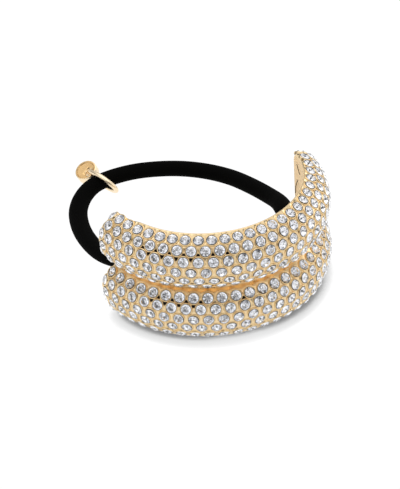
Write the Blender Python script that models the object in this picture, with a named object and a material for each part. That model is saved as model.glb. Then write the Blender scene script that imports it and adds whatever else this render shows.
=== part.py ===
# A hair tie: a C-shaped cuff of two puffed lobes set all over with small stones,
# closed by a covered elastic that carries a disc charm on an oval ring.
# Units are metres, +Z is up. The origin is on the surface that the cuff stands on, at
# the middle of the cuff's footprint. The stones face -Y and the elastic runs out to +Y.

import math

import bpy
import numpy as np
from mathutils import Matrix, Vector

MM = 0.001

# Cuff: the plan, around an upright axis
LOBE_CENTRE_RADIUS = 21.93 * MM     # axis of the cuff to the middle of a lobe's round front
ROW_END_ANGLE = math.radians(80.33)  # from the middle of the front to the last stone
STONES_PER_ROW = 24

# Cuff: the section of one lobe
LOBE_RADIUS = 7.20 * MM             # round front of a lobe, measured on the metal
GROOVE_ANGLE = math.radians(68.1)   # how far round its front a lobe meets the other one
ROW_ANGLE = math.radians(21.33)     # from one row of stones to the next, round the lobe
ROWS_ABOVE = 3                      # rows above the lobe's fullest row
ROWS_BELOW = 2                      # and rows below it
EDGE_BEVEL = 0.25 * MM              # from the last strip in to the flat rim
EDGE_RISE = 0.20 * MM               # and up to it, past the last row's stones
RIM_WIDTH = 0.50 * MM               # flat rim that the cuff stands on
RIM_DROP = 2.20 * MM                # how far the rim's inner edge falls at the cuff's ends
RIM_DROP_SHARE = 0.29               # share of that at the rim's outer edge
RIM_DROP_START = math.radians(66.0)  # where the rim begins to fall
FOOT_FULLNESS = 0.60 * MM           # the lower lobe is fuller by this towards its rim
FULLNESS_START = math.radians(15.0)  # above this angle round the lobe
FULLNESS_END = math.radians(50.0)   # and by all of it from this angle on
GROOVE_FLAT = 0.40 * MM             # flattened bottom of the groove between the lobes
LOBE_GAP = 0.30 * MM                # between the two halves of the cuff

# Cuff: the rounded end of a lobe
BODY_END_ANGLE = math.radians(2.10)  # full section past the last stone
END_LENGTH = 3.70 * MM              # length of the rounded end
END_RINGS = 4                       # sections that make the rounded end
END_ROUNDNESS = 2.5                 # 2 is an ellipse, and more is blunter
END_MIDDLE_RADIUS = 25.60 * MM      # cuff's axis to the point that the end closes on
END_STONE_REACH = 0.55 * MM         # how far the end's stones stand past its metal

# Stones
STONE_RADIUS = 1.32 * MM            # at the girdle
TABLE_RADIUS = 0.76 * MM
TABLE_HEIGHT = 0.50 * MM            # table above the metal
GIRDLE_DEPTH = 0.20 * MM            # girdle below the metal
POINT_RADIUS = 0.55 * MM            # blunt lower end
POINT_DEPTH = 0.70 * MM
STONE_SIDES = 8

# Elastic
ELASTIC_WIDTH = 4.40 * MM
ELASTIC_HEIGHT = 3.25 * MM
ELASTIC_SIDES = 10
ELASTIC_STEP = 2.40 * MM            # between two sections
PINCH = 0.66                        # share of its section that the clamped end keeps
PINCH_LENGTH = 3.20 * MM            # clamped length
PINCH_FADE = 4.40 * MM              # length in which it swells to its full section
SEAT_CLEARANCE = 0.30 * MM          # round the elastic, in the cuff

# Charm
WIRE_DIAMETER = 1.15 * MM
RING_HALF_LENGTH = 4.75 * MM        # to the middle of the wire
RING_SLACK = 0.42 * MM              # over and under the elastic
RING_CENTRE = (-6.01 * MM, 44.70 * MM)
RING_HEADING = math.radians(105.1)  # its long way, from +X
RING_LEAN = math.radians(27.3)      # its top leans to -X
RING_SEGMENTS = 16
WIRE_SIDES = 6
DISC_RADIUS = 2.78 * MM
DISC_THICKNESS = 2.25 * MM
DISC_RIM = 0.42 * MM                # raised border of the disc's face
DISC_RECESS = 0.20 * MM
DISC_SIDES = 24
HOLE_CLEARANCE = 0.38 * MM          # round the wire, in the disc
HOLE_EDGE = 0.36 * MM               # metal between the hole and the disc's border
HOLE_SIDES = 12

# The elastic's middle line, chosen by hand, in millimetres from the cuff's axis: x, y,
# and the height above the surface. It runs from one end of the cuff to the other.
ELASTIC_ROUTE = (
    (23.40, -9.80, 11.60),
    (21.60, -6.80, 11.60),
    (20.32, -3.00, 11.35),
    (21.25, 1.00, 10.75),
    (22.50, 4.60, 9.70),
    (23.00, 8.60, 8.40),
    (22.56, 19.10, 6.10),
    (20.87, 28.50, 4.20),
    (17.55, 35.20, 3.20),
    (13.15, 39.50, 3.00),
    (7.95, 42.50, 3.00),
    (2.35, 44.50, 3.00),
    (-3.85, 45.10, 3.00),
    (-8.55, 44.30, 3.00),
    (-12.85, 41.50, 3.00),
    (-16.70, 36.80, 3.10),
    (-19.72, 29.85, 3.85),
    (-21.95, 20.90, 5.50),
    (-22.87, 13.15, 7.30),
    (-22.90, 8.60, 8.55),
    (-22.15, 4.60, 9.80),
    (-21.00, 1.00, 10.75),
    (-20.32, -3.00, 11.35),
    (-21.60, -6.80, 11.60),
    (-23.40, -9.80, 11.60),
)

# Sizes that follow from these
STONE_STEP = 2.0 * ROW_END_ANGLE / (STONES_PER_ROW - 1)
MIDDLE_INDEX = (STONES_PER_ROW - 1) / 2.0
LOBE_CENTRE_HEIGHT = LOBE_RADIUS * math.sin(GROOVE_ANGLE)
STRIP_SHARE = 1.0 / math.cos(ROW_ANGLE / 2.0)
TOP_ANGLE = (ROWS_ABOVE + 0.5) * ROW_ANGLE
TOP_RISE = STRIP_SHARE * math.sin(TOP_ANGLE)
UPPER_HEIGHT = LOBE_CENTRE_HEIGHT + LOBE_RADIUS * TOP_RISE + EDGE_RISE
LOWER_HEIGHT = UPPER_HEIGHT + FOOT_FULLNESS * TOP_RISE
TOP_REACH = STRIP_SHARE * math.cos(TOP_ANGLE)
INNER_RADIUS = LOBE_CENTRE_RADIUS + LOBE_RADIUS * TOP_REACH - EDGE_BEVEL - RIM_WIDTH
GROOVE_RADIUS = LOBE_CENTRE_RADIUS + LOBE_RADIUS * math.cos(GROOVE_ANGLE) + GROOVE_FLAT
BODY_END = ROW_END_ANGLE + BODY_END_ANGLE
END_TURN = END_LENGTH / END_MIDDLE_RADIUS
RING_HALF_HEIGHT = 0.55 * ELASTIC_HEIGHT + RING_SLACK + WIRE_DIAMETER / 2.0
RING_BOW = RING_HALF_LENGTH * (
    1.0 - math.sqrt(1.0 - (DISC_THICKNESS / 2.0 / RING_HALF_HEIGHT) ** 2)
)
HOLE_RADIUS = (WIRE_DIAMETER + RING_BOW) / 2.0 + HOLE_CLEARANCE
HOLE_OFFSET = DISC_RADIUS - HOLE_RADIUS - HOLE_EDGE

# The rows of stones, by the angle round the lobe: every second row is set half a step over
ROW_ANGLES = [(ROWS_ABOVE - row) * ROW_ANGLE for row in range(ROWS_ABOVE + ROWS_BELOW + 1)]

# Stones on the rounded end: angle in rows above the fullest row, steps past the last stone
END_STONES = (
    (3.0, 0.92),
    (1.0, 0.85),
    (-1.0, 0.85),
    (2.4, 1.42),
    (-0.3, 1.42),
)

# The middle of the cuff's footprint, from its axis along Y
FRONT_REACH = LOBE_CENTRE_RADIUS + LOBE_RADIUS + TABLE_HEIGHT
END_TIP_REACH = END_MIDDLE_RADIUS * math.sin(BODY_END + END_TURN - math.pi / 2.0)
END_REACH = END_TIP_REACH + END_STONE_REACH
FOOTPRINT_MIDDLE = (END_REACH - FRONT_REACH) / 2.0


def clear_scene():
    for item in list(bpy.data.objects):
        bpy.data.objects.remove(item, do_unlink=True)


def make_material(name, colour, metallic, roughness):
    material = bpy.data.materials.new(name)
    material.use_nodes = True
    shader = material.node_tree.nodes["Principled BSDF"]
    shader.inputs["Base Color"].default_value = (*colour, 1.0)
    shader.inputs["Metallic"].default_value = metallic
    shader.inputs["Roughness"].default_value = roughness
    return material


def make_object(name, vertices, faces, materials, face_slot=0):
    """Makes an object from points measured from the cuff's axis on the floor."""
    mesh = bpy.data.meshes.new(name)
    mesh.from_pydata([tuple(point) for point in vertices], [], faces)
    for material in materials:
        mesh.materials.append(material)
    for polygon in mesh.polygons:
        polygon.material_index = face_slot
    mesh.update()
    item = bpy.data.objects.new(name, mesh)
    item.location = (0.0, -FOOTPRINT_MIDDLE, 0.0)
    bpy.context.collection.objects.link(item)
    return item


def make_helper(item):
    item.hide_render = True
    item.display_type = "WIRE"


def add_boolean(item, other, operation):
    modifier = item.modifiers.new(other.name, "BOOLEAN")
    modifier.operation = operation
    modifier.solver = "EXACT"
    modifier.object = other


def skin(rings, closed=False):
    """Faces over rings of points: a tube with flat ends, or one that closes on itself."""
    vertices = [point for ring in rings for point in ring]
    sides = len(rings[0])
    faces = []
    spans = len(rings) if closed else len(rings) - 1
    for span in range(spans):
        first = span * sides
        second = (span + 1) % len(rings) * sides
        for side in range(sides):
            after = (side + 1) % sides
            faces.append((first + side, first + after, second + after, second + side))
    if not closed:
        last = (len(rings) - 1) * sides
        faces.append(tuple(reversed(range(sides))))
        faces.append(tuple(range(last, last + sides)))
    return vertices, faces


def smooth_step(share):
    share = min(max(share, 0.0), 1.0)
    return share * share * (3.0 - 2.0 * share)


def lobe_height(side):
    """From the middle plane to a lobe's rim: side is 1 for the upper lobe, -1 for the lower."""
    return UPPER_HEIGHT if side > 0 else LOWER_HEIGHT


def lobe_radius(angle, side):
    """Radius of a lobe's round front at an angle: the lower one is fuller near its rim."""
    if side > 0:
        return LOBE_RADIUS
    share = smooth_step((angle - FULLNESS_START) / (FULLNESS_END - FULLNESS_START))
    return LOBE_RADIUS + FOOT_FULLNESS * share


def section(turn, side):
    """One lobe's section as (radius, height over the middle plane), from the wall round."""
    drop = RIM_DROP * smooth_step((abs(turn) - RIM_DROP_START) / (BODY_END - RIM_DROP_START))
    top = lobe_height(side)
    rim = LOBE_CENTRE_RADIUS + lobe_radius(TOP_ANGLE, side) * TOP_REACH - EDGE_BEVEL
    profile = [
        (INNER_RADIUS, LOBE_GAP / 2.0),
        (INNER_RADIUS, top - drop),
        (rim, top - RIM_DROP_SHARE * drop),
    ]
    for edge in range(len(ROW_ANGLES) + 1):
        angle = TOP_ANGLE - edge * ROW_ANGLE
        radius = lobe_radius(angle, side) * STRIP_SHARE
        profile.append((
            LOBE_CENTRE_RADIUS + radius * math.cos(angle),
            LOBE_CENTRE_HEIGHT + radius * math.sin(angle),
        ))
    profile.append((GROOVE_RADIUS, LOBE_GAP / 2.0))
    return profile


def end_scale(turn):
    """Share of the section that is left at a turn in the rounded end."""
    past = min(max((abs(turn) - BODY_END) / END_TURN, 0.0), 1.0)
    return (1.0 - past ** END_ROUNDNESS) ** (1.0 / END_ROUNDNESS)


def place(radius, height, turn, side):
    """A section's point, shrunk to the end's middle where the end is rounded."""
    share = end_scale(turn)
    middle = lobe_height(side) / 2.0
    radius = END_MIDDLE_RADIUS + share * (radius - END_MIDDLE_RADIUS)
    height = middle + share * (height - middle)
    return Vector((
        radius * math.sin(turn),
        -radius * math.cos(turn),
        LOWER_HEIGHT + side * height,
    ))


def lobe_turns():
    """Turns at which the lobe has a section: one a stone, then the rounded ends."""
    turns = [-ROW_END_ANGLE + stone * STONE_STEP for stone in range(STONES_PER_ROW)]
    past = [BODY_END]
    for ring in range(1, END_RINGS + 1):
        past.append(BODY_END + END_TURN * math.sin(math.radians(80.0) * ring / END_RINGS))
    return [-turn for turn in reversed(past)] + turns + past


def lobe_mesh(side):
    rings = []
    for turn in lobe_turns():
        ring = [place(radius, height, turn, side) for radius, height in section(turn, side)]
        rings.append(ring if side < 0 else list(reversed(ring)))
    return skin(rings)


def stone_points(centre, outward, along):
    """The four rings of a stone: table, girdle, and the part sunk in the metal."""
    across = outward.cross(along).normalized()
    along = across.cross(outward).normalized()
    levels = (
        (TABLE_RADIUS, TABLE_HEIGHT),
        (STONE_RADIUS, -GIRDLE_DEPTH),
        (POINT_RADIUS, -POINT_DEPTH),
    )
    rings = []
    for radius, height in levels:
        ring = []
        for corner in range(STONE_SIDES):
            angle = 2.0 * math.pi * (corner + 0.5) / STONE_SIDES
            flat = along * math.cos(angle) + across * math.sin(angle)
            ring.append(centre + outward * height + flat * radius)
        rings.append(list(reversed(ring)))
    return rings


def stone_places():
    """Angle round the lobe and turn round the cuff of each stone of one lobe."""
    places = []
    for row, angle in enumerate(ROW_ANGLES):
        shift = 0.5 * (row % 2)
        count = STONES_PER_ROW + row % 2
        for stone in range(count):
            places.append((angle, (stone - shift - MIDDLE_INDEX) * STONE_STEP))
    for rows, steps in END_STONES:
        for end in (-1, 1):
            places.append((rows * ROW_ANGLE, end * (ROW_END_ANGLE + steps * STONE_STEP)))
    return places


def front_point(angle, turn, side):
    radius = lobe_radius(angle, side)
    return place(
        LOBE_CENTRE_RADIUS + radius * math.cos(angle),
        LOBE_CENTRE_HEIGHT + radius * math.sin(angle),
        turn,
        side,
    )


def stones_mesh(side):
    vertices = []
    faces = []
    small = 1e-3
    for angle, turn in stone_places():
        centre = front_point(angle, turn, side)
        along = front_point(angle, turn + small, side) - front_point(angle, turn - small, side)
        round_it = front_point(angle + small, turn, side) - front_point(angle - small, turn, side)
        outward = along.cross(round_it).normalized() * side
        points, sides = skin(stone_points(centre, outward, along))
        first = len(vertices)
        vertices.extend(points)
        faces.extend(tuple(first + corner for corner in face) for face in sides)
    return vertices, faces


def spline(points, steps):
    """Points along a smooth curve through the given ones (chord-length Catmull-Rom)."""
    points = np.array(points)
    before = 2.0 * points[0] - points[1]
    after = 2.0 * points[-1] - points[-2]
    padded = np.vstack([before, points, after])
    curve = []
    for first in range(len(points) - 1):
        p0, p1, p2, p3 = padded[first:first + 4]
        t1 = np.linalg.norm(p1 - p0) ** 0.5
        t2 = t1 + np.linalg.norm(p2 - p1) ** 0.5
        t3 = t2 + np.linalg.norm(p3 - p2) ** 0.5
        for t in np.linspace(t1, t2, steps, endpoint=False):
            a1 = (t1 - t) / t1 * p0 + t / t1 * p1
            a2 = (t2 - t) / (t2 - t1) * p1 + (t - t1) / (t2 - t1) * p2
            a3 = (t3 - t) / (t3 - t2) * p2 + (t - t2) / (t3 - t2) * p3
            b1 = (t2 - t) / t2 * a1 + t / t2 * a2
            b2 = (t3 - t) / (t3 - t1) * a2 + (t - t1) / (t3 - t1) * a3
            curve.append((t2 - t) / (t2 - t1) * b1 + (t - t1) / (t2 - t1) * b2)
    curve.append(points[-1])
    return np.array(curve)


def even_points(curve, step):
    """The curve again, with points at even distances."""
    lengths = np.concatenate([[0.0], np.cumsum(np.linalg.norm(np.diff(curve, axis=0), axis=1))])
    count = round(lengths[-1] / step)
    marks = np.linspace(0.0, lengths[-1], count + 1)
    return np.stack([np.interp(marks, lengths, curve[:, axis]) for axis in range(3)], axis=1)


def section_share(distance):
    """Share of its full section that the elastic has at a distance from its end."""
    return PINCH + (1.0 - PINCH) * smooth_step((distance - PINCH_LENGTH) / PINCH_FADE)


def elastic_rings(points, total, start, grow):
    """Oval sections square to the middle line, kept level, each as wide as it is there."""
    tangents = np.gradient(points, axis=0)
    steps = np.linalg.norm(np.diff(points, axis=0), axis=1)
    distances = start + np.concatenate([[0.0], np.cumsum(steps)])
    rings = []
    for point, tangent, distance in zip(points, tangents, distances):
        share = section_share(min(distance, total - distance))
        forward = Vector(tangent).normalized()
        sideways = forward.cross(Vector((0.0, 0.0, 1.0))).normalized()
        upward = sideways.cross(forward).normalized()
        ring = []
        for corner in range(ELASTIC_SIDES):
            angle = 2.0 * math.pi * (corner + 0.5) / ELASTIC_SIDES
            width = (ELASTIC_WIDTH / 2.0 * share + grow) * math.cos(angle)
            height = (ELASTIC_HEIGHT / 2.0 * share + grow) * math.sin(angle)
            ring.append(Vector(point) + sideways * width + upward * height)
        rings.append(list(reversed(ring)))
    return rings


def build_lobes(gold, crystal, seats):
    for name, side in (("upper_lobe", 1), ("lower_lobe", -1)):
        vertices, faces = lobe_mesh(side)
        lobe = make_object(name, vertices, faces, (gold, crystal))
        vertices, faces = stones_mesh(side)
        stones = make_object(name + "_stones", vertices, faces, (gold, crystal), 1)
        make_helper(stones)
        add_boolean(lobe, stones, "UNION")
        for seat in seats:
            add_boolean(lobe, seat, "DIFFERENCE")


def build_elastic(cloth):
    """The elastic, and the two helpers that cut its seats in the ends of the cuff."""
    route = [(x * MM, y * MM, z * MM) for x, y, z in ELASTIC_ROUTE]
    points = even_points(spline(route, 40), ELASTIC_STEP)
    total = np.linalg.norm(np.diff(points, axis=0), axis=1).sum()
    vertices, faces = skin(elastic_rings(points, total, 0.0, 0.0))
    elastic = make_object("elastic", vertices, faces, (cloth,))
    elastic.data.shade_smooth()
    seats = []
    reach = math.ceil((PINCH_LENGTH + PINCH_FADE) / ELASTIC_STEP) + 2
    for name, end in (("seat_right", points[:reach]), ("seat_left", points[::-1][:reach])):
        deeper = end[0] + (end[0] - end[1]) / np.linalg.norm(end[1] - end[0]) * SEAT_CLEARANCE
        line = np.vstack([deeper, end])
        vertices, faces = skin(elastic_rings(line, total, -SEAT_CLEARANCE, SEAT_CLEARANCE))
        seat = make_object(name, vertices, faces, ())
        make_helper(seat)
        seats.append(seat)
    return seats


def ring_axes():
    """The ring's long way, its upright way, which leans, and the way through it."""
    long_way = Vector((math.cos(RING_HEADING), math.sin(RING_HEADING), 0.0))
    level = long_way.cross(Vector((0.0, 0.0, 1.0)))
    up_way = Vector((0.0, 0.0, math.cos(RING_LEAN))) - level * math.sin(RING_LEAN)
    return long_way, up_way, long_way.cross(up_way)


def ring_centre():
    height = RING_HALF_HEIGHT * math.cos(RING_LEAN) + WIRE_DIAMETER / 2.0
    return Vector((*RING_CENTRE, height))


def build_ring(gold):
    long_way, up_way, through = ring_axes()
    centre = ring_centre()
    rings = []
    for segment in range(RING_SEGMENTS):
        angle = 2.0 * math.pi * segment / RING_SEGMENTS
        along = long_way * (RING_HALF_LENGTH * math.cos(angle))
        middle = centre + along + up_way * (RING_HALF_HEIGHT * math.sin(angle))
        normal = long_way * (RING_HALF_HEIGHT * math.cos(angle))
        normal = (normal + up_way * (RING_HALF_LENGTH * math.sin(angle))).normalized()
        ring = []
        for corner in range(WIRE_SIDES):
            turn = 2.0 * math.pi * corner / WIRE_SIDES
            offset = normal * math.cos(turn) + through * math.sin(turn)
            ring.append(middle + offset * (WIRE_DIAMETER / 2.0))
        rings.append(list(reversed(ring)))
    vertices, faces = skin(rings, closed=True)
    ring = make_object("charm_ring", vertices, faces, (gold,))
    ring.data.shade_smooth()


def disc_frame():
    """The hole's middle and the disc's axes: the far end of the ring goes through it."""
    long_way, up_way, through = ring_axes()
    hole = ring_centre() + long_way * (RING_HALF_LENGTH - RING_BOW / 2.0)
    frame = Matrix((long_way, -through, up_way)).transposed().to_4x4()
    return hole, frame


def circle(radius, height, sides):
    turns = [2.0 * math.pi * (corner + 0.5) / sides for corner in range(sides)]
    return [Vector((radius * math.cos(turn), radius * math.sin(turn), height)) for turn in turns]


def build_disc(gold):
    half = DISC_THICKNESS / 2.0
    levels = (
        (DISC_RADIUS - DISC_RIM, half - DISC_RECESS),
        (DISC_RADIUS - DISC_RIM, half),
        (DISC_RADIUS, half),
        (DISC_RADIUS, -half),
    )
    hole, frame = disc_frame()
    rings = [list(reversed(circle(radius, height, DISC_SIDES))) for radius, height in levels]
    frame.translation = hole + frame.col[0].to_3d() * HOLE_OFFSET
    vertices, faces = skin([[frame @ point for point in ring] for ring in rings])
    disc = make_object("charm_disc", vertices, faces, (gold,))
    frame.translation = hole
    ends = (DISC_THICKNESS, -DISC_THICKNESS)
    rings = [list(reversed(circle(HOLE_RADIUS, height, HOLE_SIDES))) for height in ends]
    vertices, faces = skin([[frame @ point for point in ring] for ring in rings])
    drill = make_object("charm_hole", vertices, faces, ())
    make_helper(drill)
    add_boolean(disc, drill, "DIFFERENCE")


def main():
    clear_scene()
    gold = make_material("pale_gold", (0.86, 0.63, 0.36), 1.0, 0.22)
    crystal = make_material("clear_crystal", (0.88, 0.89, 0.93), 0.1, 0.05)
    cloth = make_material("black_cover", (0.012, 0.012, 0.013), 0.0, 0.85)
    seats = build_elastic(cloth)
    build_lobes(gold, crystal, seats)
    build_ring(gold)
    build_disc(gold)


main()
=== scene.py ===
# The dressed hair tie: a gold cuff of two lobes set all over with clear stones, its
# covered elastic, and the charm. Lengths are in metres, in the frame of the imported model.

import math
import random

import bpy
import numpy as np
from mathutils import Matrix, Vector
from mathutils.kdtree import KDTree

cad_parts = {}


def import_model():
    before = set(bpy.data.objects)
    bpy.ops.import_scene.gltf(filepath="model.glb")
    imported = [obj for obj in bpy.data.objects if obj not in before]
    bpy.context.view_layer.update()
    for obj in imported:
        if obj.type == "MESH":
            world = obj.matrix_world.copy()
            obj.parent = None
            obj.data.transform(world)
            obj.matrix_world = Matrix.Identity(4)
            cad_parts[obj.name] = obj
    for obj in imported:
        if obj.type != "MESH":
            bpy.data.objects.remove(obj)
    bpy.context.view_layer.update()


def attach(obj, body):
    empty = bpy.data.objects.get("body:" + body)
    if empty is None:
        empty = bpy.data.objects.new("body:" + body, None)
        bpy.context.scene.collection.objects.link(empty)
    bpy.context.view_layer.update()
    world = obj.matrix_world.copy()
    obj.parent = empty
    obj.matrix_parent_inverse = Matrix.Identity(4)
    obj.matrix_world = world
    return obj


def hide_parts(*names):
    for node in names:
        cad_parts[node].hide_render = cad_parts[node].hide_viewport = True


MM = 0.001

# The cuff, with the same sizes as its solids. Its section is turned round an upright axis,
# and a row of stones lies at one angle round a lobe's front.
AXIS_Y = 14.3815 * MM
LOBE_CENTRE_RADIUS = 21.93 * MM
ROW_END_ANGLE = math.radians(80.33)
STONES_PER_ROW = 24
LOBE_RADIUS = 7.20 * MM
GROOVE_ANGLE = math.radians(68.1)
ROW_ANGLE = math.radians(21.33)
ROWS_ABOVE = 3
ROWS_BELOW = 2
BODY_END = ROW_END_ANGLE + math.radians(2.10)
END_LENGTH = 3.70 * MM              # rounded end past the body
END_ROUNDNESS = 2.5                 # 2 is an ellipse, more is squarer
END_MIDDLE_RADIUS = 25.60 * MM
END_TURN = END_LENGTH / END_MIDDLE_RADIUS
INNER_RADIUS = 23.12 * MM
RIM_DROP = 2.20 * MM                # the rims come closer together at the ends
RIM_DROP_SHARE = 0.29               # of which the lobe's front follows this share
RIM_DROP_START = math.radians(66.0)
FOOT_FULLNESS = 0.60 * MM           # by which the lower lobe is fuller near its rim
FULLNESS_START = math.radians(15.0)
FULLNESS_END = math.radians(50.0)
UPPER_HEIGHT = 13.946 * MM
LOWER_HEIGHT = 14.535 * MM
LOBE_CENTRE_HEIGHT = LOBE_RADIUS * math.sin(GROOVE_ANGLE)
STONE_STEP = 2.0 * ROW_END_ANGLE / (STONES_PER_ROW - 1)
MIDDLE_INDEX = (STONES_PER_ROW - 1) / 2.0
ROW_ANGLES = [(ROWS_ABOVE - row) * ROW_ANGLE for row in range(ROWS_ABOVE + ROWS_BELOW + 1)]
END_STONES = (                      # in rows, and in steps past the row's last stone
    (3.0, 0.92),
    (1.0, 0.85),
    (-1.0, 0.85),
    (2.4, 1.42),
    (-0.3, 1.42),
)

# The metal as it shows
METAL_SINK = 0.14 * MM              # metal between the settings, under the lobe's round
RIM_BEAD = 0.36 * MM                # radius of the rounded rim
BEAD_SWEEP = math.radians(120.0)    # from the wall over the top
BEAD_STEPS = 8
BEAD_WALL_STEPS = 5                 # of which these look like the wall
FRONT_TOP = math.radians(70.0)
FRONT_FOOT = math.radians(-60.0)
DROP_STEPS = 6                      # steps of the front in which the rim's drop fades
GROOVE_BOTTOM = 25.02 * MM          # cuff's axis to the bottom of the groove
GROOVE_SHARES = (0.45, 0.80, 1.0)   # shares of the way down into it, point by point
GROOVE_STEP = 54                    # step of the front at which the groove's brighter gold, painted light, begins
STATIONS = 300
END_STATIONS = 20
FRONT_STEPS = 62
WALL_STEPS = 8
WALL_SIDE_POINTS = WALL_STEPS + BEAD_WALL_STEPS
GROOVE_POINT = WALL_STEPS + BEAD_STEPS + GROOVE_STEP
GOLD, WALL, SHADE, PIT, GROOVE = range(5)       # slots of the cuff's materials

# Lines of painted shade on the inner wall at the cuff's ends: share of the height, share of the
# round end
SHADE_LINE_RADIUS = 0.13 * MM
SHADE_LINE_SIDES = 8
SHADE_LINES = (
    ((0.14, 0.30), (0.32, 0.16), (0.42, -0.07), (0.52, -0.32)),
    ((0.71, -0.82), (0.75, -0.54), (0.80, -0.30), (0.83, -0.20)),
)

# Stones and their settings
SEAT_RADIUS = 1.45 * MM             # hollow in the metal under a stone
SEAT_DEPTH = 0.30 * MM              # at its edge
SEAT_SLOPE = 0.80                   # and how much deeper towards its middle
SEAT_SEARCH = 1.3 * SEAT_RADIUS
STONE_RADIUS = 1.19 * MM
FACETS = 8                          # sides of the table
TABLE_SHARE = 0.56
CROWN_HEIGHT = 0.37 * MM
STAR_SHARE = 0.79                   # corners of the crown between table and girdle:
STAR_HEIGHT = 0.52                  # shares of the stone's radius and the crown's height
GIRDLE_HEIGHT = 0.06 * MM
GIRDLE_THICKNESS = 0.05 * MM
PAVILION_DEPTH = 1.13 * MM
HALF_SHARE = 0.30                   # corners between girdle and point: shares of the
HALF_DEPTH = 0.73                   # stone's radius and the pavilion's depth
STONE_TIP = math.radians(6.0)       # how far a stone may lean
DICE_SEED = 11
SETTING_SIDES = 22
SETTING_PROFILE = (                 # radius, height over the lobe's round, in millimetres
    (1.58, -0.60),
    (1.56, -0.14),
    (1.51, -0.02),
    (1.43, 0.04),
    (1.34, 0.02),
    (1.27, -0.08),
    (1.26, -0.40),
)
SETTING_GOLD = 5                    # steps of the profile in gold; the rest takes the painted shade
TURN_PROBE = 1e-3                   # small angle either way, to find a surface's slope

# Small pits between two rows, their depth painted black as shade: side, the row that each lies in,
# the row that it faces, and the turns in degrees from the first to the last
PIERCING_RADIUS = 0.34 * MM
PIERCING_DEPTH = 0.30 * MM
PIERCING_SEARCH = 4.0 * PIERCING_RADIUS
PIERCED_ROWS = (
    (1, 1, 2, -60.0, -17.0),
    (1, 2, 1, -60.0, -33.0),
    (-1, 5, 4, -58.0, -28.0),
    (-1, 5, 4, -15.0, -9.0),
    (-1, 4, 5, -56.0, -33.0),
)

# The elastic: its middle line from one end of the cuff to the other, in millimetres
# from the cuff's axis
ELASTIC_WIDTH = 4.40 * MM
ELASTIC_HEIGHT = 3.25 * MM
ELASTIC_STEP = 0.17 * MM
ELASTIC_SIDES = 64
SPLINE_STEPS = 60                   # from one point of the route to the next
PATH_STRIDE = 12                    # every so many points of the line go into its path
PINCH = 0.66                        # share of its section where the cuff clamps it
PINCH_LENGTH = 3.20 * MM
PINCH_FADE = 4.40 * MM
COVER = 0.14 * MM                   # how far the plaited cover stands out
EASE_REACH = 4.0 * MM               # its bends are eased over this reach both ways,
EASE_START = 8.0 * MM               # between these distances from each end
EASE_END = 36.0 * MM
EASE_FADE = 4.0 * MM
YARNS = 16
YARN_LENGTH = 0.62 * MM
YARN_RELIEF = 0.045 * MM
ELASTIC_ROUTE = (
    (23.40, -9.80, 11.60),
    (21.60, -6.80, 11.60),
    (20.32, -3.00, 11.35),
    (21.25, 1.00, 10.75),
    (22.50, 4.60, 9.70),
    (23.00, 8.60, 8.40),
    (22.56, 19.10, 6.10),
    (20.87, 28.50, 4.20),
    (17.55, 35.20, 3.20),
    (13.15, 39.50, 3.00),
    (7.95, 42.50, 3.00),
    (2.35, 44.50, 3.00),
    (-3.85, 45.10, 3.00),
    (-8.55, 44.30, 3.00),
    (-12.85, 41.50, 3.00),
    (-16.70, 36.80, 3.10),
    (-19.72, 29.85, 3.85),
    (-21.95, 20.90, 5.50),
    (-22.87, 13.15, 7.30),
    (-22.90, 8.60, 8.55),
    (-22.15, 4.60, 9.80),
    (-21.00, 1.00, 10.75),
    (-20.32, -3.00, 11.35),
    (-21.60, -6.80, 11.60),
    (-23.40, -9.80, 11.60),
)

# The charm
WIRE_DIAMETER = 1.15 * MM
RING_HALF_LENGTH = 4.75 * MM
RING_SHARE = 0.55                   # of the elastic's height, in half the ring's
RING_SLACK = 0.42 * MM              # over and under the elastic
RING_HALF_HEIGHT = RING_SHARE * ELASTIC_HEIGHT + RING_SLACK + WIRE_DIAMETER / 2.0
RING_CENTRE = (-6.01 * MM, 44.70 * MM)
RING_HEADING = math.radians(105.1)  # its long way, from +X
RING_LEAN = math.radians(27.3)      # its top leans to -X
RING_SEGMENTS = 96
WIRE_SIDES = 20
DISC_RADIUS = 2.78 * MM
DISC_THICKNESS = 2.25 * MM
DISC_SIDES = 72
DISC_EDGE = 0.16 * MM               # radius of its rounded edges
DISC_EDGE_STEPS = 4
DISC_BORDER = (                     # in from the edge and down from the top, in millimetres
    (0.40, 0.0),
    (0.50, 0.10),
    (0.58, 0.22),
)
DISC_FACE_DEPTH = 0.24 * MM
DISC_FACE_RINGS = 4                 # rings of faces in the face's own gold
HOLE_CLEARANCE = 0.38 * MM          # round the wire, in the disc
HOLE_EDGE = 0.36 * MM               # metal between the hole and the disc's edge
HOLE_SIDES = 40
RING_BOW = RING_HALF_LENGTH * (
    1.0 - math.sqrt(1.0 - (DISC_THICKNESS / 2.0 / RING_HALF_HEIGHT) ** 2)
)
HOLE_RADIUS = (WIRE_DIAMETER + RING_BOW) / 2.0 + HOLE_CLEARANCE
HOLE_OFFSET = DISC_RADIUS - HOLE_RADIUS - HOLE_EDGE

# Edges sharper than this are hard
CUFF_SHARP = math.radians(42.0)
SETTING_SHARP = math.radians(60.0)
ELASTIC_SHARP = math.radians(70.0)
WIRE_SHARP = math.radians(60.0)
DISC_SHARP = math.radians(35.0)

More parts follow.
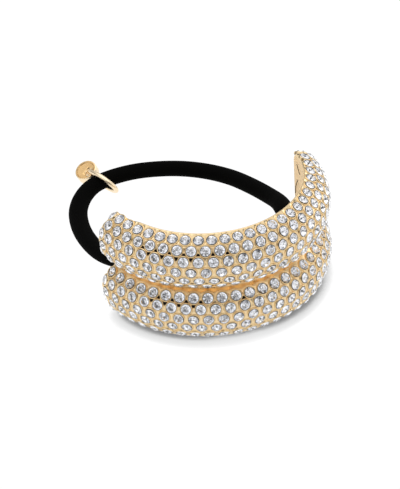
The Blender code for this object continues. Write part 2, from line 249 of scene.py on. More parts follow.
# The golds: colour, the colour that it varies to, roughness, relief
GOLDS = {
    "pale_gold": ((0.79, 0.57, 0.33), (0.84, 0.69, 0.42), 0.18, 0.12),
    # the inner wall: a rougher satin finish, and paler and brighter than the plate as painted
    # light on the shaded wall
    "wall_satin_and_painted_light_gold": ((0.96, 0.74, 0.46), (0.98, 0.80, 0.54), 0.60, 0.06),
    # the groove: brighter and more orange than the plate, painted light for the light bounced
    # between the lobes
    "groove_painted_light_gold": ((0.93, 0.62, 0.31), (0.96, 0.73, 0.41), 0.26, 0.12),
    "charm_gold": ((0.62, 0.40, 0.17), (0.76, 0.52, 0.26), 0.30, 0.30),
    # the ring and the disc's border: paler and brighter than the plate, a painted highlight
    "ring_painted_highlight_gold": ((0.95, 0.76, 0.50), (0.98, 0.84, 0.62), 0.30, 0.10),
}
GOLD_POLISH = (0.7, 1.5)            # the roughness varies between these shares of it
GOLD_CLOUD = (900.0, 3.0)           # scale and detail of the noises
GOLD_GRAIN = (4200.0, 2.0)
SHADE_CLOUD = (2500.0, 2.0)
CLOTH_FUZZ = (6000.0, 4.0)
GOLD_BUMP = 0.04 * MM
CLOTH_BUMP = 0.05 * MM
CLOTH_RELIEF = 0.35

# The room: its light, and its dark patches as azimuth, elevation, core and edge in
# degrees, and the share of the light that each takes
ROOM_LIGHT = 1.06
ROOM_DARK = 0.02
DARK_PATCHES = (
    (-30.0, 33.0, 15.0, 24.0, 1.0),
    (-58.0, 26.0, 10.0, 24.0, 1.0),
    (10.0, 12.0, 6.0, 14.0, 1.0),
    (75.0, 30.0, 10.0, 24.0, 1.0),
    (-145.0, 10.0, 15.0, 45.0, 0.72),
    (155.0, 5.0, 15.0, 45.0, 0.64),
)
LAMPS = (                           # name, place, aim, size, power in watts
    ("top", (0.0, 0.45, 1.60), (0.0, 0.0, 0.0), (1.6, 1.2), 5.0),
    ("right", (1.60, -0.10, 0.55), (0.0, 0.0, 0.01), (0.8, 0.9), 4.0),
)

# The floor and its shadow. How open a spot is, over a short reach, is raised to a power
# that grows towards the cuff's left and right ends, and turned into a tone.
FLOOR_REACH = 3.0
SHADOW_REACH = 6.8 * MM
SHADOW_SAMPLES = 16
SHADOW_OPEN = (0.05, 0.62)          # openness that counts as closed and as open
SHADOW_BACK = (14.0 * MM, 20.0 * MM)            # it ends between these, towards +Y
SHADOW_LEFT = (-10.0 * MM, -24.0 * MM, 1.0, 1.8)    # from and to in X, and the power there
SHADOW_RIGHT = (-2.0 * MM, 20.0 * MM, 1.0, 3.4)
SHADOW_TONES = (                    # openness, tone
    (0.0, 0.20),
    (0.12, 0.28),
    (0.18, 0.42),
    (0.24, 0.60),
    (0.31, 0.76),
    (0.60, 0.81),
    (0.76, 0.88),
    (0.92, 0.95),
    (1.0, 1.04),
)

# The camera
CAMERA_AZIMUTH = math.radians(-26.32)
CAMERA_ELEVATION = math.radians(35.41)
CAMERA_ROLL = math.radians(-3.07)
CAMERA_DISTANCE = 0.800
CAMERA_TARGET = Vector((-0.006195, 0.006193, 0.015965))
CAMERA_LENS = 250.6
CAMERA_SENSOR = 36.0
CAMERA_CLIP = 0.01


def smooth_step(share):
    share = min(max(share, 0.0), 1.0)
    return share * share * (3.0 - 2.0 * share)


def end_scale(turn):
    """Size of the cuff's section at a turn: 1 on the body, 0 at the tip of a rounded end."""
    past = min(max((abs(turn) - BODY_END) / END_TURN, 0.0), 1.0)
    return (1.0 - past ** END_ROUNDNESS) ** (1.0 / END_ROUNDNESS)


def lobe_height(side):
    """From the middle plane to a lobe's rim: side is 1 for the upper lobe, -1 for the lower."""
    return UPPER_HEIGHT if side > 0 else LOWER_HEIGHT


def lobe_radius(angle, side):
    """Radius of a lobe's round front at an angle: the lower one is fuller near its rim."""
    if side > 0:
        return LOBE_RADIUS
    share = smooth_step((angle - FULLNESS_START) / (FULLNESS_END - FULLNESS_START))
    return LOBE_RADIUS + FOOT_FULLNESS * share


def place(radius, height, turn, side):
    """A point of a lobe's section, shrunk to the end's middle where the end is rounded."""
    share = end_scale(turn)
    middle = lobe_height(side) / 2.0
    radius = END_MIDDLE_RADIUS + share * (radius - END_MIDDLE_RADIUS)
    height = middle + share * (height - middle)
    return Vector((
        radius * math.sin(turn),
        AXIS_Y - radius * math.cos(turn),
        LOWER_HEIGHT + side * height,
    ))


def front_point(angle, turn, side):
    """A point of a lobe's round front, at an angle of its section and a turn of the cuff."""
    radius = lobe_radius(angle, side)
    return place(
        LOBE_CENTRE_RADIUS + radius * math.cos(angle),
        LOBE_CENTRE_HEIGHT + radius * math.sin(angle),
        turn,
        side,
    )


def add_object(name, data):
    made = bpy.data.objects.new(name, data)
    bpy.context.scene.collection.objects.link(made)
    return made


def make_piece(name, vertices, faces, materials, slots=None, sharp=None):
    """A piece that rides on the hair tie. sharp is the angle over which an edge is hard."""
    mesh = bpy.data.meshes.new(name)
    mesh.from_pydata([tuple(point) for point in vertices], [], faces)
    for material in materials:
        mesh.materials.append(material)
    if slots is not None:
        mesh.polygons.foreach_set("material_index", slots)
    if sharp is not None:
        mesh.shade_smooth()
        mesh.set_sharp_from_angle(angle=sharp)
    mesh.update()
    return add_object(name, mesh)


def circle(middle, one, other, radius, sides):
    """Points round a middle, that start in one direction and turn towards the other."""
    points = []
    for side in range(sides):
        angle = 2.0 * math.pi * side / sides
        points.append(middle + (one * math.cos(angle) + other * math.sin(angle)) * radius)
    return points


def tube_faces(starts, sides):
    """Faces between rings of points, where starts holds each ring's first point."""
    faces = []
    for low, high in zip(starts, starts[1:]):
        for corner in range(sides):
            after = (corner + 1) % sides
            faces.append((low + corner, low + after, high + after, high + corner))
    return faces


def flipped(faces):
    """The same faces with their other side out."""
    return [(face[0], *face[:0:-1]) for face in faces]


def node(tree, kind, **settings):
    made = tree.nodes.new(kind)
    for name, value in settings.items():
        made.inputs[name.replace("_", " ")].default_value = value
    return made


def noise(tree, scale, detail):
    """A noise in the piece's own coordinates."""
    place_of = tree.nodes.new("ShaderNodeTexCoord")
    cloud = node(tree, "ShaderNodeTexNoise", Scale=scale, Detail=detail)
    tree.links.new(place_of.outputs["Object"], cloud.inputs["Vector"])
    return cloud.outputs["Fac"]


def mapped(tree, value, low, high, first=0.0, last=1.0):
    """A value taken from the range low to high into the range first to last."""
    made = node(tree, "ShaderNodeMapRange", From_Min=low, From_Max=high, To_Min=first, To_Max=last)
    tree.links.new(value, made.inputs["Value"])
    return made.outputs["Result"]


def combined(tree, operation, one, other):
    """A math node of two values."""
    made = tree.nodes.new("ShaderNodeMath")
    made.operation = operation
    tree.links.new(one, made.inputs[0])
    tree.links.new(other, made.inputs[1])
    return made.outputs["Value"]


def blend(tree, share, first, last):
    """A colour between two, by a value from 0 to 1."""
    made = tree.nodes.new("ShaderNodeMix")
    made.data_type = "RGBA"
    made.inputs["A"].default_value = (*first, 1.0)
    made.inputs["B"].default_value = (*last, 1.0)
    tree.links.new(share, made.inputs["Factor"])
    return made.outputs["Result"]


def roughen(tree, shader, height, strength, distance):
    """A low unevenness of the surface."""
    bump = node(tree, "ShaderNodeBump", Strength=strength, Distance=distance)
    tree.links.new(height, bump.inputs["Height"])
    tree.links.new(bump.outputs["Normal"], shader.inputs["Normal"])


def plain_material(name, colour, metallic, roughness):
    material = bpy.data.materials.new(name)
    material.use_nodes = True
    shader = material.node_tree.nodes["Principled BSDF"]
    shader.inputs["Base Color"].default_value = (*colour, 1.0)
    shader.inputs["Metallic"].default_value = metallic
    shader.inputs["Roughness"].default_value = roughness
    return material, material.node_tree, shader


def painted_shade_material():
    """Painted shade for the bottoms of the settings, the seats under the stones and the lines at
    the cuff's ends.
    """
    material, tree, shader = plain_material("setting_shade", (0.045, 0.026, 0.014), 0.6, 0.5)
    cloud = noise(tree, *SHADE_CLOUD)
    tint = blend(tree, cloud, (0.06, 0.034, 0.018), (0.018, 0.011, 0.007))
    tree.links.new(tint, shader.inputs["Base Color"])
    return material


def pit_shade_material():
    """Painted shade in the small pits: near black, for the shade deep in them."""
    material, _, shader = plain_material("pit", (0.006, 0.004, 0.003), 0.0, 0.9)
    shader.inputs["Specular IOR Level"].default_value = 0.1
    return material


def gold_material(name):
    """Polished plate: its colour and polish vary a little, and it has a faint unevenness."""
    colour, shade, roughness, relief = GOLDS[name]
    material, tree, shader = plain_material(name, colour, 1.0, roughness)
    cloud = noise(tree, *GOLD_CLOUD)
    polish = [roughness * share for share in GOLD_POLISH]
    tree.links.new(blend(tree, cloud, colour, shade), shader.inputs["Base Color"])
    tree.links.new(mapped(tree, cloud, 0.0, 1.0, *polish), shader.inputs["Roughness"])
    roughen(tree, shader, noise(tree, *GOLD_GRAIN), relief, GOLD_BUMP)
    return material


def crystal_materials():
    """Clear cut glass, and the mirror backing behind it."""
    glass, _, shader = plain_material("crystal", (0.995, 0.997, 1.0), 0.0, 0.0)
    shader.inputs["Transmission Weight"].default_value = 1.0
    shader.inputs["IOR"].default_value = 1.58
    foil, _, _ = plain_material("crystal_backing", (0.97, 0.975, 1.0), 1.0, 0.02)
    return glass, foil


def cloth_material():
    """The black cover, matt and a little fuzzy."""
    material, tree, shader = plain_material("black_cover", (0.002, 0.002, 0.002), 0.0, 0.85)
    shader.inputs["Specular IOR Level"].default_value = 0.03
    fuzz = noise(tree, *CLOTH_FUZZ)
    tint = blend(tree, fuzz, (0.0008, 0.0008, 0.0007), (0.0020, 0.0019, 0.0017))
    tree.links.new(tint, shader.inputs["Base Color"])
    roughen(tree, shader, fuzz, CLOTH_RELIEF, CLOTH_BUMP)
    return material


def metal_profile(side):
    """A lobe's section as (radius, height, share of the rim's drop), from the wall round."""
    profile = []
    bead_height = lobe_height(side) - RIM_BEAD
    for step in range(WALL_STEPS):
        share = step / WALL_STEPS
        profile.append((INNER_RADIUS, bead_height * share, share))
    bead_middle = INNER_RADIUS + RIM_BEAD
    for step in range(BEAD_STEPS + 1):
        angle = math.pi - BEAD_SWEEP * step / BEAD_STEPS
        share = 1.0 - (1.0 - RIM_DROP_SHARE) * step / BEAD_STEPS
        profile.append((
            bead_middle + RIM_BEAD * math.cos(angle),
            bead_height + RIM_BEAD * math.sin(angle),
            share,
        ))
    for step in range(FRONT_STEPS + 1):
        angle = FRONT_TOP + (FRONT_FOOT - FRONT_TOP) * step / FRONT_STEPS
        metal = lobe_radius(angle, side) - METAL_SINK
        profile.append((
            LOBE_CENTRE_RADIUS + metal * math.cos(angle),
            LOBE_CENTRE_HEIGHT + metal * math.sin(angle),
            RIM_DROP_SHARE * max(1.0 - step / DROP_STEPS, 0.0),
        ))
    foot_radius, foot_height, _ = profile[-1]
    for share in GROOVE_SHARES:
        profile.append((
            foot_radius + (GROOVE_BOTTOM - foot_radius) * (1.0 - (1.0 - share) ** 2),
            foot_height * (1.0 - share),
            0.0,
        ))
    return profile


def point_tree(points):
    """A search tree of points, which finds them by their index."""
    tree = KDTree(len(points))
    for index, point in enumerate(points):
        tree.insert(point, index)
    tree.balance()
    return tree


def sink_seats(vertices, frames, wall_side):
    """Hollows the metal under each stone, so that the back of the stone is free."""
    tree = point_tree([frame[0] for frame in frames])
    sunk = set()
    for index, point in enumerate(vertices):
        centre, nearest, distance = tree.find(point)
        if index in wall_side or distance > SEAT_SEARCH:
            continue
        outward = frames[nearest][1]
        height = (point - centre).dot(outward)
        radius = (point - centre - outward * height).length
        depth = SEAT_DEPTH + SEAT_SLOPE * (SEAT_RADIUS - radius)
        if radius < SEAT_RADIUS and height > -depth:
            vertices[index] = point - outward * (height + depth)
            sunk.add(index)
    return sunk


def row_turns(row):
    """Turns of a row's stones, in order: every second row is set half a step over."""
    shift = 0.5 * (row % 2)
    count = STONES_PER_ROW + row % 2
    return [(stone - shift - MIDDLE_INDEX) * STONE_STEP for stone in range(count)]


def row_stones(row, side):
    """Turns and centres of a row's stones, in order."""
    return [(turn, front_point(ROW_ANGLES[row], turn, side)) for turn in row_turns(row)]


def pierce(vertices, sunk):
    """Small pits between every three stones of the pierced rows."""
    tree = point_tree(vertices)
    pitted = set()
    for side, row, other, first, last in PIERCED_ROWS:
        stones = row_stones(row, side)
        facing = row_stones(other, side)
        for (turn, one), (next_turn, two) in zip(stones, stones[1:]):
            middle = (turn + next_turn) / 2.0
            if not math.radians(first) < middle < math.radians(last):
                continue
            three = min(facing, key=lambda stone: abs(stone[0] - middle))[1]
            centre = (one + two + three) / 3.0
            outward = (two - one).cross(three - one).normalized()
            if outward.dot(Vector((centre.x, centre.y - AXIS_Y, 0.0))) < 0.0:
                outward = -outward
            for point, index, _ in tree.find_range(centre, PIERCING_SEARCH):
                height = (point - centre).dot(outward)
                if (point - centre - outward * height).length > PIERCING_RADIUS:
                    continue
                if index not in sunk:
                    vertices[index] = point - outward * PIERCING_DEPTH
                    pitted.add(index)
    return pitted


def shade_line_tube(line, end, side, base):
    """A thin dark tube of painted shade at one end of a lobe: points, and faces numbered from
    base.
    """
    points = []
    for share, past in line:
        turn = end * (BODY_END + past * END_TURN)
        height = share * (lobe_height(side) - RIM_BEAD)
        middle = place(INNER_RADIUS, height, turn, side)
        inward = Vector((-math.sin(turn), math.cos(turn), 0.0))
        along = Vector((math.cos(turn), math.sin(turn), 0.0))
        points.extend(circle(middle, inward, along, SHADE_LINE_RADIUS, SHADE_LINE_SIDES))
    starts = range(base, base + len(points), SHADE_LINE_SIDES)
    faces = tube_faces(starts, SHADE_LINE_SIDES)
    faces.append(tuple(starts[0] + corner for corner in reversed(range(SHADE_LINE_SIDES))))
    faces.append(tuple(starts[-1] + corner for corner in range(SHADE_LINE_SIDES)))
    return points, [face if side > 0 else face[::-1] for face in faces]


def add_shade_lines(vertices, faces, slots):
    """Fine dark lines of painted shade between the plain inner wall and the rounded ends."""
    for side in (1, -1):
        for end in (-1, 1):
            for line in SHADE_LINES:
                points, tube = shade_line_tube(line, end, side, len(vertices))
                vertices.extend(points)
                faces.extend(tube)
                slots.extend([SHADE] * len(tube))


def section_slot(point):
    """Material slot of the faces after a point of the section."""
    if point < WALL_SIDE_POINTS:
        return WALL
    return GOLD if point < GROOVE_POINT else GROOVE


def cuff_turns():
    """Turns of the sections, even on the body and closer towards the tips."""
    body = [BODY_END * (2.0 * station / STATIONS - 1.0) for station in range(STATIONS + 1)]
    past = []
    for station in range(1, END_STATIONS):
        lean = 0.5 * math.pi * station / END_STATIONS
        past.append(BODY_END + END_TURN * math.sin(lean) ** (2.0 / END_ROUNDNESS))
    return [-turn for turn in reversed(past)] + body + past


def lobe_shell(side, turns, base):
    """A lobe's closed shell: points, faces numbered from base, slots, and sections' starts."""
    profile = metal_profile(side)
    count = len(profile)
    points = []
    for turn in turns:
        fall = (abs(turn) - RIM_DROP_START) / (BODY_END - RIM_DROP_START)
        drop = RIM_DROP * smooth_step(fall)
        for radius, height, share in profile:
            points.append(place(radius, height - share * drop, turn, side))
    starts = range(base, base + len(points), count)
    faces = flipped(tube_faces(starts, count))
    slots = [section_slot(point) for point in range(count)] * (len(turns) - 1)
    left_tip = base + len(points)
    right_tip = left_tip + 1
    for end in (-1, 1):
        tip = end * (BODY_END + END_TURN)
        points.append(place(END_MIDDLE_RADIUS, lobe_height(side) / 2.0, tip, side))
    for point in range(count):
        after = (point + 1) % count
        faces.append((left_tip, starts[0] + point, starts[0] + after))
        faces.append((right_tip, starts[-1] + after, starts[-1] + point))
        slots.extend((GOLD, GOLD))
    return points, [face if side > 0 else face[::-1] for face in faces], slots, starts


def make_cuff(materials, frames):
    """Both lobes: closed shells with rounded ends that meet in the groove."""
    turns = cuff_turns()
    vertices = []
    faces = []
    slots = []
    wall_side = set()
    for side in (1, -1):
        points, shell, shell_slots, starts = lobe_shell(side, turns, len(vertices))
        vertices.extend(points)
        faces.extend(shell)
        slots.extend(shell_slots)
        for start in starts:
            wall_side.update(range(start, start + WALL_SIDE_POINTS))
    sunk = sink_seats(vertices, frames, wall_side)
    pitted = pierce(vertices, sunk)
    # Faces wholly in a seat take the painted shade, and faces at a pit the pits' near-black
    # painted shade.
    for index, face in enumerate(faces):
        if all(corner in sunk for corner in face):
            slots[index] = SHADE
        elif any(corner in pitted for corner in face):
            slots[index] = PIT
    add_shade_lines(vertices, faces, slots)
    return make_piece("cuff", vertices, faces, materials, slots, CUFF_SHARP)


def stone_frames():
    """Centre and outward, along and across directions of every stone."""
    frames = []
    for side in (1, -1):
        places = [(angle, turn) for row, angle in enumerate(ROW_ANGLES) for turn in row_turns(row)]
        for rows, steps in END_STONES:
            for end in (-1, 1):
                places.append((rows * ROW_ANGLE, end * (ROW_END_ANGLE + steps * STONE_STEP)))
        for angle, turn in places:
            centre = front_point(angle, turn, side)
            along = front_point(angle, turn + TURN_PROBE, side)
            along = along - front_point(angle, turn - TURN_PROBE, side)
            across = front_point(angle + TURN_PROBE, turn, side)
            across = across - front_point(angle - TURN_PROBE, turn, side)
            outward = (along.cross(across) * side).normalized()
            along = (along - outward * along.dot(outward)).normalized()
            frames.append((centre, outward, along, outward.cross(along)))
    return frames


def make_settings(gold, shadow, frames):
    """A round collar for each stone, with a soft rounded top and painted shade on its inner side.
    """
    vertices = []
    faces = []
    for centre, outward, along, across in frames:
        base = len(vertices)
        for radius, height in SETTING_PROFILE:
            middle = centre + outward * (height * MM)
            vertices.extend(circle(middle, along, across, radius * MM, SETTING_SIDES))
        faces.extend(tube_faces(range(base, len(vertices), SETTING_SIDES), SETTING_SIDES))
    # The first steps of the profile are gold; the inner side below them takes the painted shade.
    bright = SETTING_GOLD * SETTING_SIDES
    dark = (len(SETTING_PROFILE) - 1) * SETTING_SIDES - bright
    slots = ([0] * bright + [1] * dark) * len(frames)
    return make_piece("settings", vertices, faces, [gold, shadow], slots, SETTING_SHARP)


def brilliant():
    """One round brilliant, as points (x, y, height) and faces with their material slot."""
    points = []

    def ring(count, shift, radius, height):
        first = len(points)
        for step in range(count):
            angle = 2.0 * math.pi / count * (step + shift)
            points.append((radius * math.cos(angle), radius * math.sin(angle), height))
        return list(range(first, first + count))

    sides = 2 * FACETS
    girdle_foot = GIRDLE_HEIGHT - GIRDLE_THICKNESS
    star_height = GIRDLE_HEIGHT + CROWN_HEIGHT * STAR_HEIGHT
    half_height = girdle_foot - PAVILION_DEPTH * HALF_DEPTH
    table = ring(FACETS, 0.0, STONE_RADIUS * TABLE_SHARE, GIRDLE_HEIGHT + CROWN_HEIGHT)
    stars = ring(FACETS, 0.5, STONE_RADIUS * STAR_SHARE, star_height)
    upper = ring(sides, 0.0, STONE_RADIUS, GIRDLE_HEIGHT)
    lower = ring(sides, 0.0, STONE_RADIUS, girdle_foot)
    halves = ring(FACETS, 0.5, STONE_RADIUS * HALF_SHARE, half_height)
    culet = ring(1, 0.0, 0.0, girdle_foot - PAVILION_DEPTH)[0]
    faces = [(tuple(table), 0)]
    for step in range(FACETS):
        one, two, three = 2 * step, 2 * step + 1, (2 * step + 2) % sides
        faces.append(((table[(step + 1) % FACETS], table[step], stars[step]), 0))
        faces.append(((table[step], stars[step - 1], upper[one], stars[step]), 0))
        faces.append(((stars[step], upper[one], upper[two]), 0))
        faces.append(((stars[step], upper[two], upper[three]), 0))
        faces.append(((lower[one], halves[step], lower[two]), 1))
        faces.append(((lower[two], halves[step], lower[three]), 1))
        faces.append(((lower[one], halves[step - 1], culet, halves[step]), 1))
    for step in range(sides):
        after = (step + 1) % sides
        faces.append(((upper[step], lower[step], lower[after], upper[after]), 1))
    return points, faces


def make_stones(glass, foil, frames):
    """Each stone is the same brilliant, turned and tipped a little its own way."""
    shape, cut = brilliant()
    dice = random.Random(DICE_SEED)
    vertices = []
    faces = []
    slots = []
    for centre, outward, along, across in frames:
        base = len(vertices)
        tip = Vector((dice.uniform(-1, 1), dice.uniform(-1, 1), 0.0)) * STONE_TIP
        turn = dice.uniform(0.0, 2.0 * math.pi)
        axes = Matrix((along, across, outward)).transposed()
        axes = axes @ Matrix.Rotation(tip.length, 3, tip.normalized())
        axes = axes @ Matrix.Rotation(turn, 3, "Z")
        for point in shape:
            vertices.append(centre + axes @ Vector(point))
        for face, slot in cut:
            faces.append(tuple(base + corner for corner in face))
            slots.append(slot)
    return make_piece("stones", vertices, faces, [glass, foil], slots)


def spline(points, steps):
    """Points of a smooth curve through the given ones: a centripetal Catmull-Rom spline."""
    points = np.array(points)
    padded = np.vstack([2.0 * points[0] - points[1], points, 2.0 * points[-1] - points[-2]])
    curve = []
    for first in range(len(points) - 1):
        p0, p1, p2, p3 = padded[first:first + 4]
        t1 = np.linalg.norm(p1 - p0) ** 0.5
        t2 = t1 + np.linalg.norm(p2 - p1) ** 0.5
        t3 = t2 + np.linalg.norm(p3 - p2) ** 0.5
        for t in np.linspace(t1, t2, steps, endpoint=False):
            a1 = (t1 - t) / t1 * p0 + t / t1 * p1
            a2 = (t2 - t) / (t2 - t1) * p1 + (t - t1) / (t2 - t1) * p2
            a3 = (t3 - t) / (t3 - t2) * p2 + (t - t2) / (t3 - t2) * p3
            b1 = (t2 - t) / t2 * a1 + t / t2 * a2
            b2 = (t3 - t) / (t3 - t1) * a2 + (t - t1) / (t3 - t1) * a3
            curve.append((t2 - t) / (t2 - t1) * b1 + (t - t1) / (t2 - t1) * b2)
    curve.append(points[-1])
    return np.array(curve)


def even_points(curve, step):
    """Points at even steps along a curve, and how far along it each lies."""
    lengths = np.concatenate([[0.0], np.cumsum(np.linalg.norm(np.diff(curve, axis=0), axis=1))])
    marks = np.linspace(0.0, lengths[-1], round(lengths[-1] / step) + 1)
    points = np.stack([np.interp(marks, lengths, curve[:, axis]) for axis in range(3)], axis=1)
    return points, marks


def ease(points, marks):
    """The same line with its bends eased where it comes out of the cuff."""
    reach = round(EASE_REACH / ELASTIC_STEP)
    sums = np.cumsum(np.pad(points, ((reach + 1, reach), (0, 0)), mode="edge"), axis=0)
    means = (sums[2 * reach + 1:] - sums[:-2 * reach - 1]) / (2 * reach + 1)
    near = np.minimum(marks, marks[-1] - marks)
    share = np.clip(np.minimum(near - EASE_START, EASE_END - near) / EASE_FADE, 0.0, 1.0)
    return points + share[:, None] * (means - points)


def make_elastic(cloth):
    """A tube with the low relief of its plaited cover."""
    route = [(x * MM, y * MM + AXIS_Y, z * MM) for x, y, z in ELASTIC_ROUTE]
    points, marks = even_points(spline(route, SPLINE_STEPS), ELASTIC_STEP)
    points = ease(points, marks)
    length = marks[-1]
    tangents = np.gradient(points, axis=0)
    tangents /= np.linalg.norm(tangents, axis=1)[:, None]
    sideways = np.cross(tangents, (0.0, 0.0, 1.0))
    sideways /= np.linalg.norm(sideways, axis=1)[:, None]
    upward = np.cross(sideways, tangents)
    turns = 2.0 * math.pi * np.arange(ELASTIC_SIDES) / ELASTIC_SIDES
    vertices = []
    for index, mark in enumerate(marks):
        near = min(mark, length - mark)
        share = PINCH + (1.0 - PINCH) * smooth_step((near - PINCH_LENGTH) / PINCH_FADE)
        phase = mark / YARN_LENGTH * math.pi
        one_way = np.abs(np.sin(YARNS / 2.0 * turns + phase))
        other_way = np.abs(np.sin(YARNS / 2.0 * turns - phase))
        relief = COVER + YARN_RELIEF * (np.maximum(one_way, other_way) - 1.0)
        width = (ELASTIC_WIDTH / 2.0 * share + relief) * np.cos(turns)
        height = (ELASTIC_HEIGHT / 2.0 * share + relief) * np.sin(turns)
        ring = points[index] + np.outer(width, sideways[index]) + np.outer(height, upward[index])
        vertices.extend(ring)
    starts = range(0, len(vertices), ELASTIC_SIDES)
    faces = flipped(tube_faces(starts, ELASTIC_SIDES))
    faces.append(tuple(range(ELASTIC_SIDES)))
    faces.append(tuple(starts[-1] + side for side in reversed(range(ELASTIC_SIDES))))
    piece = make_piece("elastic_cover", vertices, faces, [cloth], sharp=ELASTIC_SHARP)
    return piece, points[::PATH_STRIDE], length


def ring_axes():
    """The ring's long way, its way up and the way through it."""
    long_way = Vector((math.cos(RING_HEADING), math.sin(RING_HEADING), 0.0))
    level = long_way.cross(Vector((0.0, 0.0, 1.0)))
    up_way = Vector((0.0, 0.0, math.cos(RING_LEAN))) - level * math.sin(RING_LEAN)
    return long_way, up_way, long_way.cross(up_way)


def ring_centre():
    """Middle of the ring, which stands on the floor."""
    height = RING_HALF_HEIGHT * math.cos(RING_LEAN) + WIRE_DIAMETER / 2.0
    return Vector((RING_CENTRE[0], RING_CENTRE[1] + AXIS_Y, height))


def make_ring(gold):
    """The oval ring of round wire."""
    long_way, up_way, through = ring_axes()
    vertices = []
    for segment in range(RING_SEGMENTS):
        angle = 2.0 * math.pi * segment / RING_SEGMENTS
        middle = ring_centre() + long_way * (RING_HALF_LENGTH * math.cos(angle))
        middle = middle + up_way * (RING_HALF_HEIGHT * math.sin(angle))
        normal = long_way * (RING_HALF_HEIGHT * math.cos(angle))
        normal = (normal + up_way * (RING_HALF_LENGTH * math.sin(angle))).normalized()
        vertices.extend(circle(middle, normal, through, WIRE_DIAMETER / 2.0, WIRE_SIDES))
    starts = [*range(0, len(vertices), WIRE_SIDES), 0]
    faces = flipped(tube_faces(starts, WIRE_SIDES))
    # Its paler gold is a painted highlight.
    return make_piece("charm_wire", vertices, faces, [gold], sharp=WIRE_SHARP)


def turned(name, profile, sides, frame, materials):
    """A turned form, closed at both ends: profile is (radius, height) from the bottom up."""
    vertices = []
    for radius, height in profile:
        for side in range(sides):
            angle = 2.0 * math.pi * side / sides
            point = Vector((radius * math.cos(angle), radius * math.sin(angle), height))
            vertices.append(frame @ point)
    starts = range(0, len(vertices), sides)
    faces = [tuple(reversed(range(sides)))] + tube_faces(starts, sides)
    faces.append(tuple(starts[-1] + side for side in range(sides)))
    return make_piece(name, vertices, faces, materials, sharp=DISC_SHARP)


def disc_profile():
    """From the flat back round the rounded edges and over the border to the sunk face."""
    half = DISC_THICKNESS / 2.0
    profile = [(DISC_RADIUS - DISC_BORDER[0][0] * MM, -half)]
    for start, level in ((-math.pi / 2.0, -half + DISC_EDGE), (0.0, half - DISC_EDGE)):
        for step in range(DISC_EDGE_STEPS + 1):
            angle = start + math.pi / 2.0 / DISC_EDGE_STEPS * step
            profile.append((
                DISC_RADIUS - DISC_EDGE + DISC_EDGE * math.cos(angle),
                level + DISC_EDGE * math.sin(angle),
            ))
    for inset, depth in DISC_BORDER:
        profile.append((DISC_RADIUS - inset * MM, half - depth * MM))
    profile.append((DISC_RADIUS / 2.0, half - DISC_FACE_DEPTH))
    return profile


def make_disc(gold, face_gold):
    """The thick disc: a recessed face inside a plain raised border, drilled for the ring."""
    long_way, up_way, through = ring_axes()
    frame = Matrix((long_way, -through, up_way)).transposed().to_4x4()
    hole = ring_centre() + long_way * (RING_HALF_LENGTH - RING_BOW / 2.0)
    frame.translation = hole + long_way * HOLE_OFFSET
    # The border takes the ring's paler gold, a painted highlight; the face its own darker gold.
    disc = turned("charm_plate", disc_profile(), DISC_SIDES, frame, [gold, face_gold])
    for polygon in list(disc.data.polygons)[-DISC_FACE_RINGS * DISC_SIDES - 1:]:
        polygon.material_index = 1
    frame.translation = hole
    bore = [(HOLE_RADIUS, -DISC_THICKNESS), (HOLE_RADIUS, DISC_THICKNESS)]
    drill = turned("charm_drill", bore, HOLE_SIDES, frame, [gold])
    cut = disc.modifiers.new("bore", "BOOLEAN")
    cut.operation = "DIFFERENCE"
    cut.solver = "EXACT"
    cut.object = drill
    bpy.context.view_layer.update()
    result = bpy.data.meshes.new_from_object(
        disc.evaluated_get(bpy.context.evaluated_depsgraph_get())
    )
    disc.modifiers.clear()
    disc.data = result
    bpy.data.objects.remove(drill)
    return disc


def area_light(name, place_at, aim, size, power):
    light = bpy.data.lights.new(name, "AREA")
    light.shape = "RECTANGLE"
    light.size, light.size_y = size
    light.energy = power
    lamp = add_object(name, light)
    lamp.location = place_at
    way = Vector(aim) - Vector(place_at)
    lamp.rotation_euler = way.to_track_quat("-Z", "Y").to_euler()


def direction(azimuth, elevation):
    """Unit vector at two angles in radians, where azimuth 0 is in front of the stones."""
    return Vector((
        math.sin(azimuth) * math.cos(elevation),
        -math.cos(azimuth) * math.cos(elevation),
        math.sin(elevation),
    ))


def make_room():
    """A white room with a few dark patches, as a studio has round the camera."""
    world = bpy.data.worlds.new("room")
    world.use_nodes = True
    tree = world.node_tree
    background = tree.nodes["Background"]
    background.inputs["Strength"].default_value = 1.0
    way = tree.nodes.new("ShaderNodeTexCoord")
    shade = None
    for azimuth, elevation, core, edge, depth in DARK_PATCHES:
        towards = tree.nodes.new("ShaderNodeVectorMath")
        towards.operation = "DOT_PRODUCT"
        towards.inputs[1].default_value = direction(math.radians(azimuth), math.radians(elevation))
        tree.links.new(way.outputs["Generated"], towards.inputs[0])
        rim = math.cos(math.radians(edge))
        middle = math.cos(math.radians(core))
        patch = mapped(tree, towards.outputs["Value"], rim, middle, 0.0, depth)
        shade = patch if shade is None else combined(tree, "MAXIMUM", shade, patch)
    colour = blend(tree, shade, (ROOM_LIGHT,) * 3, (ROOM_DARK,) * 3)
    tree.links.new(colour, background.inputs["Color"])
    return world


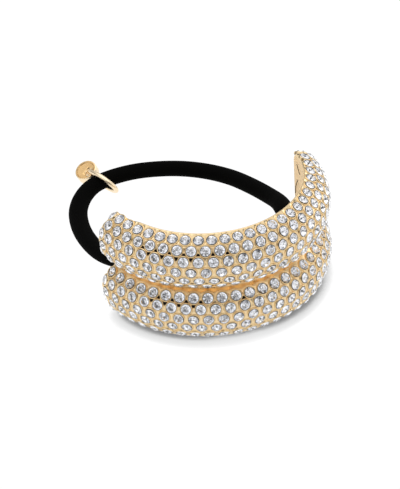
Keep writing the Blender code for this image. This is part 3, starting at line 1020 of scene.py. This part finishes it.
def floor_material():
    """White by its own light, with the shadow as a darker tone close round the cuff."""
    material, tree, shader = plain_material("floor", (0.0, 0.0, 0.0), 0.0, 1.0)
    shader.inputs["Specular IOR Level"].default_value = 0.0
    shader.inputs["Emission Strength"].default_value = 1.0
    near = tree.nodes.new("ShaderNodeAmbientOcclusion")
    near.samples = SHADOW_SAMPLES
    near.inputs["Distance"].default_value = SHADOW_REACH
    place_of = tree.nodes.new("ShaderNodeTexCoord")
    split = tree.nodes.new("ShaderNodeSeparateXYZ")
    tree.links.new(place_of.outputs["Object"], split.inputs["Vector"])
    openness = mapped(tree, near.outputs["AO"], *SHADOW_OPEN)
    left = mapped(tree, split.outputs["X"], *SHADOW_LEFT)
    right = mapped(tree, split.outputs["X"], *SHADOW_RIGHT)
    power = combined(tree, "MAXIMUM", left, right)
    openness = combined(tree, "POWER", openness, power)
    behind = mapped(tree, split.outputs["Y"], *SHADOW_BACK)
    openness = combined(tree, "MAXIMUM", openness, behind)
    white = tree.nodes.new("ShaderNodeValToRGB")
    ramp = white.color_ramp
    while len(ramp.elements) < len(SHADOW_TONES):
        ramp.elements.new(1.0)
    for stop, (position, tone) in zip(ramp.elements, SHADOW_TONES):
        stop.position = position
        stop.color = (tone, tone, tone, 1.0)
    tree.links.new(openness, white.inputs["Fac"])
    tree.links.new(white.outputs["Color"], shader.inputs["Emission Color"])
    return material


def make_stage():
    """The floor, the room round it, and two soft lamps above and at the right."""
    mesh = bpy.data.meshes.new("floor")
    corners = [
        (x * FLOOR_REACH, y * FLOOR_REACH, 0.0)
        for x, y in ((-1, -1), (1, -1), (1, 1), (-1, 1))
    ]
    mesh.from_pydata(corners, [], [(0, 1, 2, 3)])
    mesh.materials.append(floor_material())
    floor = add_object("floor", mesh)
    bpy.context.scene.world = make_room()
    for lamp in LAMPS:
        area_light(*lamp)


def make_camera():
    """The photograph's camera."""
    data = bpy.data.cameras.new("camera")
    data.lens = CAMERA_LENS
    data.sensor_width = CAMERA_SENSOR
    data.clip_start = CAMERA_CLIP
    camera = add_object("camera", data)
    away = direction(CAMERA_AZIMUTH, CAMERA_ELEVATION)
    turn = away.to_track_quat("Z", "Y").to_matrix() @ Matrix.Rotation(CAMERA_ROLL, 3, "Z")
    moved = Matrix.Translation(CAMERA_TARGET + away * CAMERA_DISTANCE)
    camera.matrix_world = moved @ turn.to_4x4()
    bpy.context.scene.camera = camera


def main():
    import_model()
    bpy.context.scene.view_settings.view_transform = "Standard"
    make_camera()
    make_stage()
    gold = gold_material("pale_gold")
    ring_painted_highlight_gold = gold_material("ring_painted_highlight_gold")
    shadow = painted_shade_material()
    glass, foil = crystal_materials()
    elastic, path, length = make_elastic(cloth_material())
    frames = stone_frames()
    wall = gold_material("wall_satin_and_painted_light_gold")
    groove = gold_material("groove_painted_light_gold")
    cuff = make_cuff([gold, wall, shadow, pit_shade_material(), groove], frames)
    settings = make_settings(gold, shadow, frames)
    stones = make_stones(glass, foil, frames)
    ring = make_ring(ring_painted_highlight_gold)
    disc = make_disc(ring_painted_highlight_gold, gold_material("charm_gold"))
    for piece in (cuff, settings, stones, elastic, ring, disc):
        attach(piece, "root")
    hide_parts("upper_lobe", "lower_lobe")
    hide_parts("elastic")
    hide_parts("charm_ring")
    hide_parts("charm_disc")


main()
